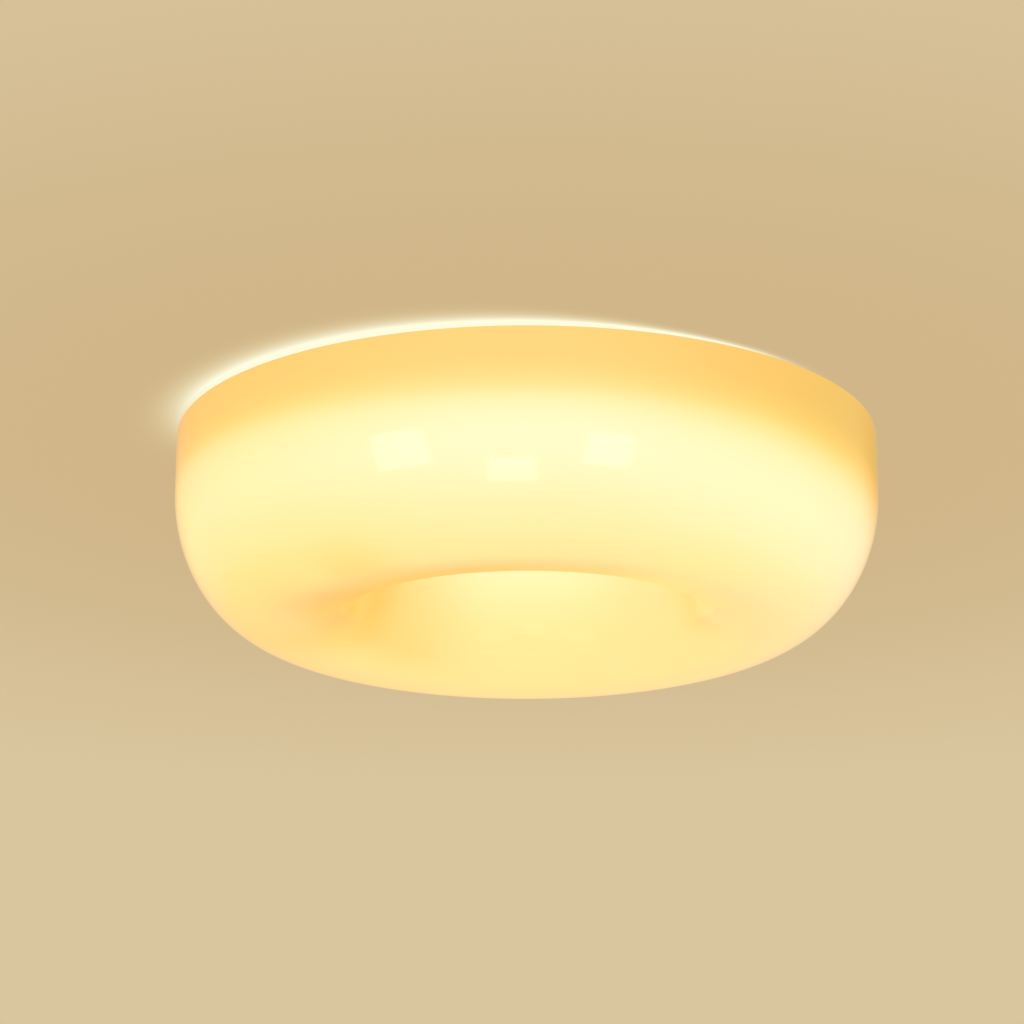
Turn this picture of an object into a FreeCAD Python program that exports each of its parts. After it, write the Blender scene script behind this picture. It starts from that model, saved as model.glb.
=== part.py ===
import FreeCAD, Part
import math
import os

# A flush mount ceiling lamp with a ring-shaped opal shade, in millimetres.
# The origin is on the ceiling, on the lamp's axis. +Z points up into the ceiling,
# so every height here is negative and a "drop" is a distance below the ceiling.

# Shade
shade_radius = 250.0  # widest
rim_radius = 249.5
shade_wall = 3.0
rim_gap = 4.0  # between the rim and the ceiling
rim_lip_width = 5.0  # inward return at the rim
belly_drop = 48.0  # where the shade is widest
ring_drop = 144.25  # lowest point of the ring
crest_radius = 176.5  # radius of that lowest point
dimple_radius = 101.5  # where the inner side of the ring stands upright
dimple_lip_drop = 119.25
dimple_floor_radius = 66.0
dimple_floor_drop = 62.0
belly_fullness = 0.535  # of the ring's outer quarter, 0.55 is an ellipse
lip_fullness = 0.49
dimple_fullness = 0.35
shade_hole_radius = 9.0

# Stem, its nuts and washers
stem_radius = 5.0
stem_bore = 3.5
stem_top_drop = 6.0
thread_clearance = 0.05  # radial, round every threaded shank
nut_across = 14.0
nut_height = 4.0
nut_chamfer = 0.6  # share of the corners that is turned off
thread_engagement = 13.0  # of the stem in the knob

# Ceiling bracket
bracket_length = 160.0
bracket_width = 25.0
bracket_thickness = 2.0
bracket_drop = 14.0  # underside of its middle
bracket_foot = 36.0
bracket_slope = 12.0
bracket_bend = 3.0
slot_spacing = 124.0
slot_length = 24.0
slot_width = 5.4

# Pan
pan_depth = 38.0
pan_thickness = 1.0
pan_radius = 212.0  # at the floor
pan_rim_radius = 216.0  # at the ceiling
pan_flange = 8.0
pan_bend = 4.0
hub_radius = 42.0
hub_height = 3.0
hub_slope = 6.0
pan_washer_radius = 17.0
pan_washer_thickness = 1.5

# Stack under the pan
sleeve_radius = 8.0
sleeve_clearance = 0.4
seat_washer_radius = 15.0
seat_washer_thickness = 1.5
bush_flange_radius = 15.0
bush_flange_thickness = 2.0
bush_clearance = 0.1
bush_bore_clearance = 0.4
knob_washer_radius = 17.5
knob_washer_thickness = 1.5
knob_washer_lip = 1.5
knob_radius = 16.0
knob_height = 20.0
knob_edge = 3.0
knob_flutes = 14
flute_radius = 2.6
flute_depth = 1.2
insert_across = 14.0
insert_clearance = 0.05

# Light boards
board_inner_radius = 146.0
board_outer_radius = 208.0
board_thickness = 1.6
board_gap = 2.0
board_count = 4
chip_length = 3.5
chip_width = 2.8
chip_height = 0.8
chip_row_inset = 6.0  # of the outer row from the boards' outer edge
chip_row_gap = 42.0  # between the two rows
chip_row_counts = (11, 9)  # on each board, outer row first
board_screw_inset = 30.0  # from the boards' inner edge
board_screw_spread = 25.0  # degrees each side of a board's middle
link_length = 16.0
link_width = 8.0
link_height = 4.0
link_edge = 1.0
plug_angle = -50.0
plug_inset = 1.0  # from the boards' inner edge
plug_length = 8.0
plug_width = 9.0
plug_height = 5.0
plug_entry_depth = 2.0
plug_lead_slack = 18.0  # from the grommet's middle to the boards' inner edge

# Screws
screw_radius = 1.5
screw_head_radius = 3.0
screw_head_height = 2.2
screw_shoulder = 0.45  # of the head's height, below its bevel
screw_flat = 0.6  # of the head's radius, inside its bevel
screw_cross = 3.4  # reach of the cross recess
screw_slot = 0.8
screw_clearance = 0.2
screw_end = 3.0  # past what it screws into

# Driver
driver_length = 110.0
driver_width = 52.0
driver_height = 26.0
driver_wall = 1.6
driver_floor = 2.0
driver_corner = 5.0
driver_edge = 1.9
driver_gap = 55.5  # from the bracket's edge to the driver
driver_ear = 11.0
driver_ear_width = 14.0
driver_post = 3.0
driver_board_margin = 3.4
strip_length = 8.0
strip_width = 16.0
strip_height = 9.0
strip_inset = 6.0  # of the terminal strips from the driver's ends
transformer_size = (24.0, 26.0, 14.0)
transformer_edge = 2.0
capacitor_radius = 5.0
capacitor_height = 12.0
capacitor_edge = 0.8

# Lever terminal
terminal_x = -8.0
terminal_gap = 56.0  # from the bracket's edge to the terminal
terminal_length = 24.0
terminal_pitch = 8.0
terminal_side = 1.5
terminal_edge = 1.0
terminal_height = 15.0
terminal_floor = 1.8
chamber_length = 18.0
chamber_width = 5.6
chamber_height = 7.4
entry_radius = 1.95
entry_rise = 5.4  # of the wire entries above the pan
contact_thickness = 0.8
contact_clearance = 0.6
lever_width = 5.2
lever_length = 17.0
lever_thickness = 2.2
lever_boss_radius = 2.2
lever_pin_radius = 0.9
lever_pin_reach = 0.8
lever_clearance = 0.1
lever_pin_clearance = 0.05
lever_tip_clearance = 1.0
lever_end_radius = 0.8
lever_back = 5.5  # of the pivot from the terminal's middle
terminal_ear = 9.0
terminal_ear_corner = 3.0
terminal_entry_depth = 4.0

# Cord clamp
clamp_gap_to_terminal = 30.0
clamp_length = 12.0
clamp_width = 36.0
clamp_base_height = 6.0
clamp_gap = 3.0
clamp_bridge_height = 5.5
cable_radius = 3.8
clamp_screw_spacing = 25.0
clamp_edge = 1.5

# Earth
earth_gap = 42.0  # from the terminal's back to the stud
earth_stud_radius = 2.0
earth_stud_height = 9.0
earth_foot_radius = 4.0
earth_foot_height = 1.0
earth_washer_thickness = 0.8
earth_tag_thickness = 0.8
earth_tag_radius = 4.2
earth_tag_neck = 5.0
earth_neck_width = 3.0
earth_barrel_length = 6.0
earth_barrel_radius = 2.0
earth_barrel_end = 1.0  # closed end of the barrel, past which the lead goes in
earth_nut_across = 7.0
earth_nut_height = 3.2

# Leads
mains_lead_radius = 1.1
low_lead_radius = 0.9
lead_spacing = 4.0  # between the two leads of the driver's ends
low_lead_spacing = 2.6
low_lead_dip = 7.4  # of the low leads below the light boards
plug_lead_spread = 1.2  # of the plug's entries against the spacing in the grommet
lane_gap = 18.0  # from the bracket's end to the mains leads that pass it
lane_step = 3.0
mains_exit = 24.0  # straight stretch of the mains leads out of the terminal
mains_swing = 22.0  # sideways, while they turn towards the bracket's end
mains_turn_in = 19.8  # from the lane, where that turn ends
mains_bow = 4.4  # towards the middle, past the bracket
mains_rise = 1.0  # above the clip, in their long bends
earth_exit = 10.0
earth_fall = 8.0  # stretch in which it comes down to its tag
low_exit = 14.0  # straight stretch of the low leads out of the driver
clip_y = -6.0
lead_clearance = 0.3
grommet_flange = 2.0
grommet_flange_thickness = 1.2
grommet_wall = 1.6
clip_width = 6.0
clip_corner = 0.8
clip_wall = 1.2

# Heights worked out from the sizes above
pan_floor = -pan_depth + pan_thickness  # upper face of the pan's floor
hub_under = -pan_depth + hub_height
washer_under = hub_under - pan_washer_thickness
lock_nut_under = washer_under - nut_height
shade_floor_top = -dimple_floor_drop + shade_wall
bush_top = shade_floor_top + bush_flange_thickness
seat_washer_top = bush_top + seat_washer_thickness
bush_under = -dimple_floor_drop - bush_flange_thickness
knob_top = bush_under - knob_washer_thickness
stem_end = knob_top - thread_engagement
nut_bore = stem_radius + thread_clearance
board_under = -pan_depth - board_thickness
entry_height = pan_floor + entry_rise
cable_height = pan_floor + clamp_base_height + clamp_gap / 2
lever_pivot_x = terminal_x - lever_back
lever_pivot_height = pan_floor + terminal_height - lever_boss_radius
terminal_width = 3 * terminal_pitch + 2 * terminal_side
board_screw_radius = board_inner_radius + board_screw_inset
outer_chip_row = board_outer_radius - chip_row_inset
chip_rows = (outer_chip_row, outer_chip_row - chip_row_gap)
plug_radius = board_inner_radius + plug_inset
lead_pass_radius = board_inner_radius - plug_lead_slack
terminal_y = bracket_width / 2 + terminal_gap + terminal_width / 2
driver_y = -bracket_width / 2 - driver_gap - driver_width / 2
clamp_x = terminal_x + terminal_length / 2 + clamp_gap_to_terminal + clamp_length / 2
earth_x = terminal_x - terminal_length / 2 - earth_gap
lane_x = -bracket_length / 2 - lane_gap
driver_board_under = pan_floor + driver_floor + driver_post
driver_board_top = driver_board_under + board_thickness
driver_lead_height = driver_board_top + strip_height / 2
strip_x = driver_length / 2 - strip_inset - strip_length / 2


def vector(x, y, z):
    return FreeCAD.Vector(x, y, z)


def profile_point(radius, height):
    return FreeCAD.Vector(radius, 0, height)


def save(name, *solids):
    # One file for each named piece. A group of like pieces is one file with several solids.
    shape = solids[0] if len(solids) == 1 else Part.makeCompound(list(solids))
    shape.exportStep(f"parts/{name}.step")


def disc(radius, bottom, top, x=0.0, y=0.0):
    return Part.makeCylinder(radius, top - bottom, vector(x, y, bottom))


def ring(outer, inner, bottom, top, x=0.0, y=0.0):
    return disc(outer, bottom, top, x, y).cut(disc(inner, bottom - 1, top + 1, x, y))


def block(length, width, bottom, top, x=0.0, y=0.0):
    # A box centred on x and y.
    corner = vector(x - length / 2, y - width / 2, bottom)
    return Part.makeBox(length, width, top - bottom, corner)


def rounded_block(length, width, bottom, top, corner, x=0.0, y=0.0):
    shape = block(length, width, bottom, top, x, y)
    uprights = [e for e in shape.Edges if abs(e.tangentAt(e.FirstParameter).z) > 0.9]
    return shape.makeFillet(corner, uprights)


def cross_rod(radius, length, x, y, z, along):
    # A cylinder centred on a point, along a level direction.
    start = vector(x, y, z) - along * (length / 2)
    return Part.makeCylinder(radius, length, start, along)


def at_angle(shape, degrees):
    turned = shape.copy()
    turned.rotate(vector(0, 0, 0), vector(0, 0, 1), degrees)
    return turned


def polar(radius, degrees):
    turn = math.radians(degrees)
    return vector(radius * math.cos(turn), radius * math.sin(turn), 0)


def largest_bend(before, corner, after):
    # The arc that uses 0.45 of the shorter of the two runs that meet at a corner.
    half_turn = (math.pi - (before - corner).getAngle(after - corner)) / 2
    shorter = min((before - corner).Length, (after - corner).Length)
    return 0.45 * shorter / math.tan(half_turn)


def rounded_path(points, bend=None):
    # Straight runs joined by tangent arcs. With no bend given each arc is as large as fits.
    edges, start = [], points[0]
    for before, corner, after in zip(points, points[1:], points[2:]):
        back = (before - corner).normalize()
        on = (after - corner).normalize()
        half_turn = (math.pi - back.getAngle(on)) / 2
        radius = bend or largest_bend(before, corner, after)
        reach = radius * math.tan(half_turn)
        middle = (back + on).normalize() * (radius / math.cos(half_turn) - radius)
        arc_start, arc_end = corner + back * reach, corner + on * reach
        edges.append(Part.LineSegment(start, arc_start).toShape())
        edges.append(Part.Arc(arc_start, corner + middle, arc_end).toShape())
        start = arc_end
    edges.append(Part.LineSegment(start, points[-1]).toShape())
    return edges


def lead(radius, points):
    # An insulated wire of round section along its route.
    path = Part.Wire(rounded_path(points))
    section = Part.Circle(points[0], points[1] - points[0], radius).toShape()
    return path.makePipeShell([Part.Wire(section)], True, False)


def strip_face(points, bend, thickness):
    # A bent strip seen from its edge, thickened to one side of the line through the points.
    path = Part.Wire(rounded_path(points, bend))
    return path.makeOffset2D(thickness, 0, True, True)


def revolved(face):
    return face.revolve(vector(0, 0, 0), vector(0, 0, 1), 360)


def smooth(*poles):
    curve = Part.BezierCurve()
    curve.setPoles(list(poles))
    return curve.toShape()


def swell(start, corner, end, fullness):
    # A quarter of an oval, drawn towards the corner where its end tangents meet.
    return smooth(start, start + (corner - start) * fullness, end + (corner - end) * fullness, end)


def outline(points):
    return [Part.LineSegment(a, b).toShape() for a, b in zip(points, points[1:])]


def hexagon(across, bottom, top, x=0.0, y=0.0):
    corners = [polar(across / math.sqrt(3), 60 * k) for k in range(7)]
    face = Part.Face(Part.makePolygon(corners))
    prism = face.extrude(vector(0, 0, top - bottom))
    prism.translate(vector(x, y, bottom))
    return prism


def nut(across, bore, bottom, height, x=0.0, y=0.0):
    # A hexagon with its corners turned off at both ends.
    corner = across / math.sqrt(3)
    chamfer = corner - across / 2
    blank = disc(corner, bottom, bottom + height, x, y)
    blank = blank.makeChamfer(chamfer * nut_chamfer, blank.Edges)
    body = hexagon(across, bottom, bottom + height, x, y).common(blank)
    return body.cut(disc(bore, bottom - 1, bottom + height + 1, x, y))


def screw(seat, up, length, x, y):
    # A pan head screw. Its head stands on the seat height, on the side that up gives as 1 or -1.
    side, crown = screw_head_radius, screw_head_height
    shoulder, flat = crown * screw_shoulder, side * screw_flat
    half = [
        profile_point(0, -length),
        profile_point(screw_radius, -length),
        profile_point(screw_radius, 0),
        profile_point(side, 0),
        profile_point(side, shoulder),
        profile_point(flat, crown),
        profile_point(0, crown),
        profile_point(0, -length),
    ]
    whole = revolved(Part.Face(Part.Wire(outline(half))))
    for turn in (0, 90):
        whole = whole.cut(at_angle(block(screw_cross, screw_slot, crown / 2, crown + 1), turn))
    if up < 0:
        whole.rotate(vector(0, 0, 0), vector(1, 0, 0), 180)
    whole.translate(vector(x, y, seat))
    return whole


def shade_skin(inset, top):
    # The shade's section from its rim to its centre hole, moved into the wall by inset.
    low, floor = -ring_drop + inset, -dimple_floor_drop + inset
    wide, upright = shade_radius - inset, dimple_radius + inset
    rim = profile_point(rim_radius - inset, top)
    belly = profile_point(wide, -belly_drop)
    crest = profile_point(crest_radius, low)
    lip = profile_point(upright, -dimple_lip_drop)
    foot = profile_point(dimple_floor_radius + inset, floor)
    return [
        smooth(rim, profile_point(wide, (top - belly_drop) / 2), belly),
        swell(belly, profile_point(wide, low), crest, belly_fullness),
        swell(crest, profile_point(upright, low), lip, lip_fullness),
        swell(lip, profile_point(upright, floor), foot, dimple_fullness),
    ] + outline([foot, profile_point(shade_hole_radius, floor)])


def make_shade():
    top = -rim_gap
    inside_top = top - shade_wall
    lip_radius = rim_radius - shade_wall - rim_lip_width
    rim = outline([
        profile_point(rim_radius, top),
        profile_point(lip_radius, top),
        profile_point(lip_radius, inside_top),
        profile_point(rim_radius - shade_wall, inside_top),
    ])
    hole = outline([
        profile_point(shade_hole_radius, -dimple_floor_drop),
        profile_point(shade_hole_radius, shade_floor_top),
    ])
    edges = shade_skin(0.0, top) + hole + shade_skin(shade_wall, inside_top) + rim
    wire = Part.Wire(Part.__sortEdges__(edges))
    save("shade", revolved(Part.Face(wire)))


def make_shade_fixing():
    # Stack in the middle: spacer tube, washer, rubber bush, cup washer and knob.
    bore = stem_radius + sleeve_clearance
    save("stem_sleeve", ring(sleeve_radius, bore, seat_washer_top, lock_nut_under))
    save("seat_washer", ring(seat_washer_radius, bore, bush_top, seat_washer_top))

    neck = shade_hole_radius - bush_clearance
    bush = disc(neck, bush_under, bush_top)
    bush = bush.fuse(disc(bush_flange_radius, shade_floor_top, bush_top))
    bush = bush.fuse(disc(bush_flange_radius, bush_under, -dimple_floor_drop))
    bush_bore = disc(stem_radius + bush_bore_clearance, bush_under - 1, bush_top + 1)
    save("shade_bush", bush.cut(bush_bore).removeSplitter())

    cup = ring(knob_washer_radius, bore, knob_top, bush_under)
    lip_inside = knob_washer_radius - knob_washer_thickness
    cup = cup.fuse(ring(knob_washer_radius, lip_inside, bush_under, bush_under + knob_washer_lip))
    save("knob_washer", cup.removeSplitter())


def make_knob():
    under = knob_top - knob_height
    body = disc(knob_radius, under, knob_top)
    low_rim = [e for e in body.Edges if e.BoundBox.ZMax < under + 0.1]
    body = body.makeChamfer(knob_edge, low_rim)
    centre = knob_radius + flute_radius - flute_depth
    for k in range(knob_flutes):
        place = polar(centre, 360.0 * k / knob_flutes)
        body = body.cut(disc(flute_radius, under - 1, knob_top + 1, place.x, place.y))
    insert_under = knob_top - thread_engagement
    body = body.cut(hexagon(insert_across + 2 * insert_clearance, insert_under, knob_top + 1))
    body = body.cut(disc(nut_bore, insert_under - 1.0, knob_top + 1))
    save("knob", body)
    insert = hexagon(insert_across, insert_under, knob_top)
    save("knob_insert", insert.cut(disc(nut_bore, insert_under - 1, knob_top + 1)))


def make_stem():
    save("stem", ring(stem_radius, stem_bore, stem_end, -stem_top_drop))
    bracket_top = -bracket_drop + bracket_thickness
    seats = (bracket_top, -bracket_drop - nut_height, lock_nut_under)
    save("stem_nuts", *[nut(nut_across, nut_bore, seat, nut_height) for seat in seats])
    save("pan_washer", ring(pan_washer_radius, nut_bore, washer_under, hub_under))


def make_bracket():
    # A flat bar with both ends set up against the ceiling, so that its middle clears the top nut.
    end, foot = bracket_length / 2, bracket_length / 2 - bracket_foot
    low, high = -bracket_drop, -bracket_thickness
    path = [
        profile_point(-end, high),
        profile_point(-foot, high),
        profile_point(-foot + bracket_slope, low),
        profile_point(foot - bracket_slope, low),
        profile_point(foot, high),
        profile_point(end, high),
    ]
    face = strip_face(path, bracket_bend, bracket_thickness)
    bar = face.extrude(vector(0, bracket_width, 0))
    bar.translate(vector(0, -bracket_width / 2, 0))
    straight, round_end = slot_length - slot_width, slot_width / 2
    for side in (-1, 1):
        middle = side * slot_spacing / 2
        bar = bar.cut(block(straight, slot_width, -bracket_drop, 1, middle))
        for end in (-1, 1):
            bar = bar.cut(disc(round_end, -bracket_drop, 1, middle + end * straight / 2))
    save("ceiling_bracket", bar.cut(disc(nut_bore, -bracket_drop - 1, 1)))


def pan_holes():
    # Each hole follows the screw, stud or grommet that goes through it.
    shank = screw_radius + thread_clearance
    places = board_screw_places() + driver_screw_places() + clamp_screw_places() + terminal_screw_places()
    holes = [disc(shank, -pan_depth - 1, pan_floor + 1, p.x, p.y) for p in places]
    holes.append(disc(nut_bore, -pan_depth - 1, 0))
    grommet = polar(lead_pass_radius, plug_angle)
    holes.append(disc(grommet_hole_radius(), -pan_depth - 1, pan_floor + 1, grommet.x, grommet.y))
    return holes


def make_pan():
    # A pressed steel tray, open towards the ceiling, with a raised hub and a flange at its rim.
    hub_edge = hub_radius + hub_slope
    path = [
        profile_point(stem_bore, hub_under),
        profile_point(hub_radius, hub_under),
        profile_point(hub_edge, -pan_depth),
        profile_point(pan_radius, -pan_depth),
        profile_point(pan_rim_radius, -pan_thickness),
        profile_point(pan_rim_radius + pan_flange, -pan_thickness),
    ]
    pan = revolved(strip_face(path, pan_bend, pan_thickness))
    save("base_pan", pan.cut(Part.makeCompound(pan_holes())))


def board_middles():
    return [360.0 / board_count * (k + 0.5) for k in range(board_count)]


def board_screw_places():
    return [
        polar(board_screw_radius, middle + side * board_screw_spread)
        for middle in board_middles()
        for side in (-1, 1)
    ]


def light_board(middle):
    # One segment of a flat ring, with its screw holes.
    whole = ring(board_outer_radius, board_inner_radius, board_under, -pan_depth)
    reach = board_outer_radius * 2
    half = 180.0 / board_count
    wedge = Part.Face(Part.makePolygon([
        vector(0, 0, board_under),
        polar(reach, middle - half) + vector(0, 0, board_under),
        polar(reach, middle + half) + vector(0, 0, board_under),
        vector(0, 0, board_under),
    ])).extrude(vector(0, 0, board_thickness))
    # moved out along its middle, so that the gap to the next board is the same all along
    wedge.translate(polar(board_gap / 2 / math.sin(math.radians(half)), middle))
    board = whole.common(wedge)
    for side in (-1, 1):
        place = polar(board_screw_radius, middle + side * board_screw_spread)
        hole = disc(screw_radius + screw_clearance, board_under - 1, -pan_depth + 1, place.x, place.y)
        board = board.cut(hole)
    return board


def make_light_boards():
    under = board_under
    chips = []
    for number, middle in enumerate(board_middles(), 1):
        save(f"led_board_{number}", light_board(middle))
        for radius, count in zip(chip_rows, chip_row_counts):
            step = 360.0 / board_count / count
            first = middle - 180.0 / board_count + step / 2
            chip = block(chip_width, chip_length, under - chip_height, under, radius)
            chips += [at_angle(chip, first + step * k) for k in range(count)]
    save("led_chips", *chips)
    length = board_thickness + pan_thickness + screw_end
    save("board_screws", *[screw(under, -1, length, p.x, p.y) for p in board_screw_places()])
    link = block(link_width, link_length, under - link_height, under, board_screw_radius)
    link = link.makeFillet(link_edge, [e for e in link.Edges if e.BoundBox.ZMax < under - 1])
    save("board_links", *[at_angle(link, 360.0 / board_count * k) for k in range(board_count - 1)])


def make_led_plug():
    under = board_under
    plug = block(plug_length, plug_width, under - plug_height, under, plug_radius + plug_length / 2)
    for side in (-1, 1):
        hole = cross_rod(
            low_lead_radius + lead_clearance,
            2 * plug_entry_depth,
            plug_radius,
            side * low_lead_spacing / 2 * plug_lead_spread,
            under - plug_height / 2,
            vector(1, 0, 0),
        )
        plug = plug.cut(hole)
    save("led_plug", at_angle(plug, plug_angle))


def grommet_hole_radius():
    return low_lead_spacing / 2 + low_lead_radius + lead_clearance + grommet_wall


def make_grommet():
    # A rubber ring that grips the pan's floor with a flange on each side.
    place = polar(lead_pass_radius, plug_angle)
    neck = grommet_hole_radius() - bush_clearance
    flange = neck + grommet_flange
    thick = grommet_flange_thickness
    body = disc(neck, -pan_depth - thick, pan_floor + thick, place.x, place.y)
    body = body.fuse(disc(flange, -pan_depth - thick, -pan_depth, place.x, place.y))
    body = body.fuse(disc(flange, pan_floor, pan_floor + thick, place.x, place.y))
    opening = disc(neck - grommet_wall, -pan_depth - thick - 1, 0, place.x, place.y)
    save("pan_grommet", body.cut(opening).removeSplitter())


def driver_screw_places():
    reach = driver_length / 2 + driver_ear / 2
    return [vector(side * reach, driver_y, 0) for side in (-1, 1)]


def driver_lead_places():
    return [driver_y - lead_spacing / 2, driver_y + lead_spacing / 2]


def make_driver():
    # Tray with two ears, posts for the board, and a housing over it.
    floor_top = pan_floor + driver_floor
    tray = rounded_block(driver_length, driver_width, pan_floor, floor_top, driver_corner, 0, driver_y)
    ears = rounded_block(
        driver_length + 2 * driver_ear, driver_ear_width, pan_floor, floor_top, driver_corner, 0, driver_y
    )
    tray = tray.fuse(ears).removeSplitter()
    for place in driver_screw_places():
        tray = tray.cut(disc(screw_radius + screw_clearance, pan_floor - 1, floor_top + 1, place.x, place.y))
    margin = driver_wall + driver_board_margin
    board_length, board_width = driver_length - 2 * margin, driver_width - 2 * margin
    for x in (-1, 1):
        for y in (-1, 1):
            post_x = x * (board_length / 2 - driver_post)
            post_y = driver_y + y * (board_width / 2 - driver_post)
            tray = tray.fuse(disc(driver_post, floor_top, driver_board_under, post_x, post_y))
    save("driver_base", tray.removeSplitter())

    top = pan_floor + driver_height
    cover = rounded_block(driver_length, driver_width, floor_top, top, driver_corner, 0, driver_y)
    cover = cover.makeFillet(driver_edge, [e for e in cover.Edges if e.BoundBox.ZMin > top - 0.1])
    inside = rounded_block(
        driver_length - 2 * driver_wall,
        driver_width - 2 * driver_wall,
        floor_top - 1,
        top - driver_wall,
        driver_corner - driver_wall,
        0,
        driver_y,
    )
    cover = cover.cut(inside)
    for x, radius in ((-1, mains_lead_radius), (1, low_lead_radius)):
        for y in driver_lead_places():
            end = x * (driver_length / 2 - driver_wall / 2)
            hole_radius = radius + lead_clearance
            cover = cover.cut(
                cross_rod(hole_radius, 3 * driver_wall, end, y, driver_lead_height, vector(1, 0, 0))
            )
    save("driver_cover", cover)

    board = block(board_length, board_width, driver_board_under, driver_board_top, 0, driver_y)
    save("driver_board", board)
    low = driver_board_top
    strips = [
        block(strip_length, strip_width, low, low + strip_height, x * strip_x, driver_y)
        for x in (-1, 1)
    ]
    save("driver_terminals", *strips)
    length, width, height = transformer_size
    core = rounded_block(length, width, low, low + height, transformer_edge, 0, driver_y)
    save("driver_transformer", core)
    place = strip_x - strip_length - capacitor_radius
    cans = []
    for x in (-1, 1):
        can = disc(capacitor_radius, low, low + capacitor_height, x * place, driver_y)
        top_edge = [e for e in can.Edges if e.BoundBox.ZMin > low + 1]
        cans.append(can.makeChamfer(capacitor_edge, top_edge))
    save("driver_capacitors", *cans)
    length = driver_floor + pan_thickness + screw_end
    save("driver_screws", *[screw(floor_top, 1, length, p.x, p.y) for p in driver_screw_places()])


def terminal_rows():
    return [terminal_y + terminal_pitch * k for k in (-1, 0, 1)]


def terminal_screw_places():
    reach = terminal_width / 2 + terminal_ear / 2
    return [vector(terminal_x, terminal_y + side * reach, 0) for side in (-1, 1)]


def make_terminal():
    # Three poles side by side, each with a chamber for its contact and a slot for its lever.
    top = pan_floor + terminal_height
    body = rounded_block(
        terminal_length, terminal_width, pan_floor, top, terminal_edge, terminal_x, terminal_y
    )
    ear_top = pan_floor + 2 * terminal_floor
    ears_width = terminal_width + 2 * terminal_ear
    ears = rounded_block(
        terminal_ear, ears_width, pan_floor, ear_top, terminal_ear_corner, terminal_x, terminal_y
    )
    body = body.fuse(ears)
    for place in terminal_screw_places():
        body = body.cut(disc(screw_radius + screw_clearance, pan_floor - 1, ear_top + 1, place.x, place.y))
    chamber_floor = pan_floor + terminal_floor
    seat_radius = lever_boss_radius + lever_clearance
    slot_under = top - lever_thickness - lever_clearance
    slot_start = lever_pivot_x - seat_radius
    slot_length_x = seat_radius + lever_length + lever_tip_clearance
    across, along = vector(0, 1, 0), vector(1, 0, 0)
    for y in terminal_rows():
        body = body.cut(
            block(chamber_length, chamber_width, chamber_floor, chamber_floor + chamber_height, terminal_x, y)
        )
        slot = Part.makeBox(
            slot_length_x, chamber_width, 10, vector(slot_start, y - chamber_width / 2, slot_under)
        )
        body = body.cut(slot)
        body = body.cut(cross_rod(seat_radius, chamber_width, lever_pivot_x, y, lever_pivot_height, across))
        pin_hole = lever_width + 2 * lever_pin_reach + 2 * lever_clearance
        pin_seat = lever_pin_radius + lever_pin_clearance
        body = body.cut(cross_rod(pin_seat, pin_hole, lever_pivot_x, y, lever_pivot_height, across))
        front, back = terminal_x + terminal_length / 2, terminal_x - terminal_length / 2
        entry = 2 * terminal_entry_depth
        lead_hole = mains_lead_radius + lead_clearance
        body = body.cut(cross_rod(entry_radius, entry, front, y, entry_height, along))
        body = body.cut(cross_rod(lead_hole, entry, back, y, entry_height, along))
    save("terminal_body", body)

    for name, y in zip(("l", "n", "e"), terminal_rows()):
        save(f"terminal_lever_{name}", terminal_lever(y))

    contacts = []
    for y in terminal_rows():
        floor = Part.makeBox(
            chamber_length - 2 * contact_clearance, lever_width, contact_thickness,
            vector(contact_back(), y - lever_width / 2, chamber_floor),
        )
        tab = Part.makeBox(
            contact_thickness, lever_width, chamber_height - contact_clearance,
            vector(contact_back(), y - lever_width / 2, chamber_floor),
        )
        contacts.append(floor.fuse(tab).removeSplitter())
    save("terminal_contacts", *contacts)
    length = 2 * terminal_floor + pan_thickness + screw_end
    save("terminal_screws", *[screw(ear_top, 1, length, p.x, p.y) for p in terminal_screw_places()])


def contact_back():
    return terminal_x - chamber_length / 2 + contact_clearance


def terminal_lever(y):
    # An arm with a round boss and two pins, which turns up out of its slot.
    across = vector(0, 1, 0)
    arm_under = lever_pivot_height + lever_boss_radius - lever_thickness
    arm = Part.makeBox(
        lever_length, lever_width, lever_thickness, vector(lever_pivot_x, y - lever_width / 2, arm_under)
    )
    far_end = [
        e for e in arm.Edges
        if e.BoundBox.XMin > lever_pivot_x + lever_length - 0.1 and abs(e.BoundBox.YLength) > 1
    ]
    arm = arm.makeFillet(lever_end_radius, far_end)
    boss = cross_rod(lever_boss_radius, lever_width, lever_pivot_x, y, lever_pivot_height, across)
    pins = cross_rod(
        lever_pin_radius, lever_width + 2 * lever_pin_reach, lever_pivot_x, y, lever_pivot_height, across
    )
    return arm.fuse([boss, pins]).removeSplitter()


def clamp_screw_places():
    return [vector(clamp_x, terminal_y + side * clamp_screw_spacing / 2, 0) for side in (-1, 1)]


def make_cord_clamp():
    # A saddle and a bridge, each hollowed for the supply cable, with two screws through both.
    base_top = pan_floor + clamp_base_height
    bridge_under = base_top + clamp_gap
    bridge_top = bridge_under + clamp_bridge_height
    cable = cross_rod(cable_radius, clamp_length + 2, clamp_x, terminal_y, cable_height, vector(1, 0, 0))
    base = rounded_block(clamp_length, clamp_width, pan_floor, base_top, clamp_edge, clamp_x, terminal_y)
    bridge = rounded_block(clamp_length, clamp_width, bridge_under, bridge_top, clamp_edge, clamp_x, terminal_y)
    holes = [
        disc(screw_radius + screw_clearance, pan_floor - 1, bridge_top + 1, p.x, p.y)
        for p in clamp_screw_places()
    ]
    cutter = Part.makeCompound([cable] + holes)
    save("clamp_base", base.cut(cutter))
    save("clamp_bridge", bridge.cut(cutter))
    length = bridge_top - pan_floor + pan_thickness + screw_end
    save("clamp_screws", *[screw(bridge_top, 1, length, p.x, p.y) for p in clamp_screw_places()])


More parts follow.
